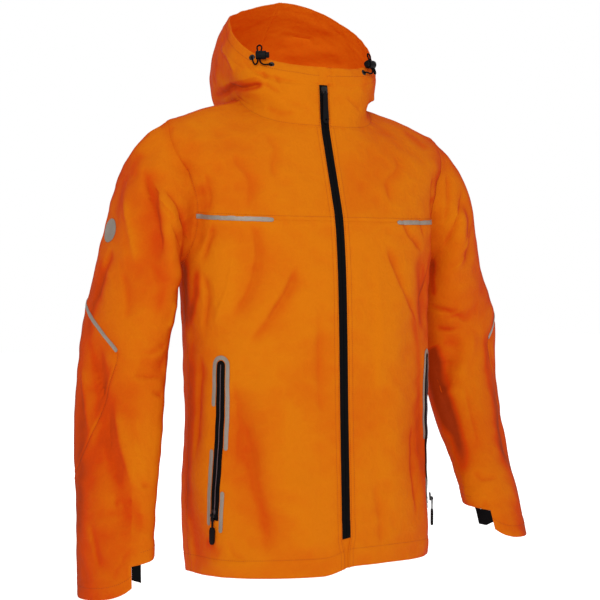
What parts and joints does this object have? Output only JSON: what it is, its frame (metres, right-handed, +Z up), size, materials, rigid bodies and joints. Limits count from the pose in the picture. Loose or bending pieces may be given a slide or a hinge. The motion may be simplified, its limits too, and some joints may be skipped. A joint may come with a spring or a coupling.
{
  "type": "hooded work jacket",
  "caption": "Hooded high-visibility work jacket in its worn form, zipped up, with reflective trim, zipped pockets and hood cords.",
  "frame": {"origin": "midway between the two neck points, where the shoulder seams meet the neckline", "axes": "+Z up, the front faces -Y, +X is the wearer's left"},
  "size_m": [0.7495, 0.3806, 0.9224],
  "materials": {
    "orange cloth": "woven, dull",
    "orange shaded": "woven, dull",
    "reflective grey": "reflective, satin",
    "black tape": "woven tape and cord, dull",
    "black plastic": "moulded, satin",
    "black metal": "coated, satin"
  },
  "bodies": {
    "jacket": {"back": "orange cloth", "back_yoke": "orange cloth", "chest_strip_left": "reflective grey", "chest_strip_right": "reflective grey", "cordlock_left": "black plastic", "cordlock_right": "black plastic", "cuff_tab_left": "black tape", "cuff_tab_right": "black tape", "elbow_panel_left": "orange cloth", "elbow_panel_right": "orange cloth", "elbow_strip_left": "reflective grey", "elbow_strip_right": "reflective grey", "eyelet_back_left": "black metal", "eyelet_back_right": "black metal", "eyelet_front_left": "black metal", "eyelet_front_right": "black metal", "front_left": "orange cloth", "front_right": "orange cloth", "front_underlap": "orange shaded", "front_yoke_left": "orange cloth", "front_yoke_right": "orange cloth", "hood_cord_left": "black tape", "hood_cord_right": "black tape", "hood_left": "orange cloth", "hood_right": "orange cloth", "main_slider": "black metal", "main_zip_tape": "black tape", "pocket_slider_left": "black metal", "pocket_slider_right": "black metal", "pocket_trim_back_left": "reflective grey", "pocket_trim_back_right": "reflective grey", "pocket_trim_front_left": "reflective grey", "pocket_trim_front_right": "reflective grey", "pocket_trim_top_left": "reflective grey", "pocket_trim_top_right": "reflective grey", "pocket_zip_tape_left": "black tape", "pocket_zip_tape_right": "black tape", "round_patch": "reflective grey", "sleeve_cap_left": "orange cloth", "sleeve_cap_right": "orange cloth", "sleeve_lower_left": "orange cloth", "sleeve_lower_right": "orange cloth", "sleeve_upper_left": "orange cloth", "sleeve_upper_right": "orange cloth", "undersleeve_lower_left": "orange cloth", "undersleeve_lower_right": "orange cloth", "undersleeve_upper_left": "orange cloth", "undersleeve_upper_right": "orange cloth"},
    "main_pull": {"main_pull": "black plastic"},
    "pocket_pull_right": {"pocket_pull_right": "black plastic"},
    "pocket_pull_left": {"pocket_pull_left": "black plastic"},
    "cordlock_plunger_right": {"cordlock_plunger_right": "black plastic"},
    "cordlock_plunger_left": {"cordlock_plunger_left": "black plastic"}
  },
  "joints": [
    {"name": "main_pull_swing", "type": "hinge", "parent": "jacket", "child": "main_pull", "pos_m": [0, -0.06965, 0.01593], "axis": [-1, 0, 0], "range_deg": [0, 150]},
    {"name": "pocket_pull_right_swing", "type": "hinge", "parent": "jacket", "child": "pocket_pull_right", "pos_m": [-0.18795, -0.07464, -0.62409], "axis": [-0.492, 0.8701, 0.0314], "range_deg": [0, 150]},
    {"name": "pocket_pull_left_swing", "type": "hinge", "parent": "jacket", "child": "pocket_pull_left", "pos_m": [0.18712, -0.07282, -0.62231], "axis": [-0.3747, -0.9267, -0.0275], "range_deg": [0, 150]},
    {"name": "cordlock_plunger_right_push", "type": "slide", "parent": "jacket", "child": "cordlock_plunger_right", "axis": [-0.8535, 0.5211, 0], "range_m": [0, 0.003], "stiffness_N_per_m": 800, "springref_m": -0.002},
    {"name": "cordlock_plunger_left_push", "type": "slide", "parent": "jacket", "child": "cordlock_plunger_left", "axis": [0.8386, 0.5447, 0], "range_m": [0, 0.003], "stiffness_N_per_m": 800, "springref_m": -0.002}
  ]
}
